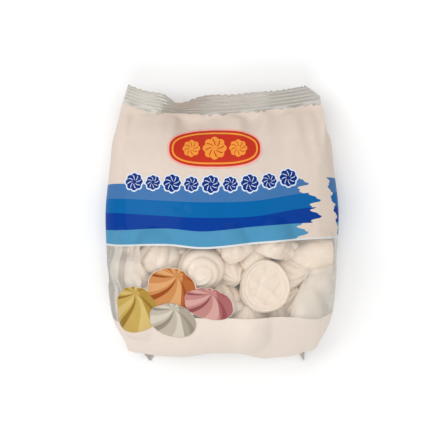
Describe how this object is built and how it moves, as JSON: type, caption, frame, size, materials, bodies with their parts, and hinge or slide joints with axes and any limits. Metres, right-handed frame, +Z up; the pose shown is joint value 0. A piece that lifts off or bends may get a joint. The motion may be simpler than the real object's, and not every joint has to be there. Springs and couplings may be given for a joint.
{
  "type": "bag of meringue cookies",
  "caption": "Sealed clear film bag of meringue cookies with side gussets, crimped end seals and a striped print, lying on its back with the front up.",
  "frame": {"origin": "on the floor, under the middle of the bag's box", "axes": "+X to the right across the printed front, +Y towards the top seal, +Z up out of the front"},
  "size_m": [0.165, 0.1958, 0.0606],
  "materials": {
    "film": "thin clear glossy film",
    "print": "ink printed on the inside of the film",
    "meringue": "dry matt meringue"
  },
  "bodies": {
    "root": {"bag": "film"}
  },
  "joints": []
}
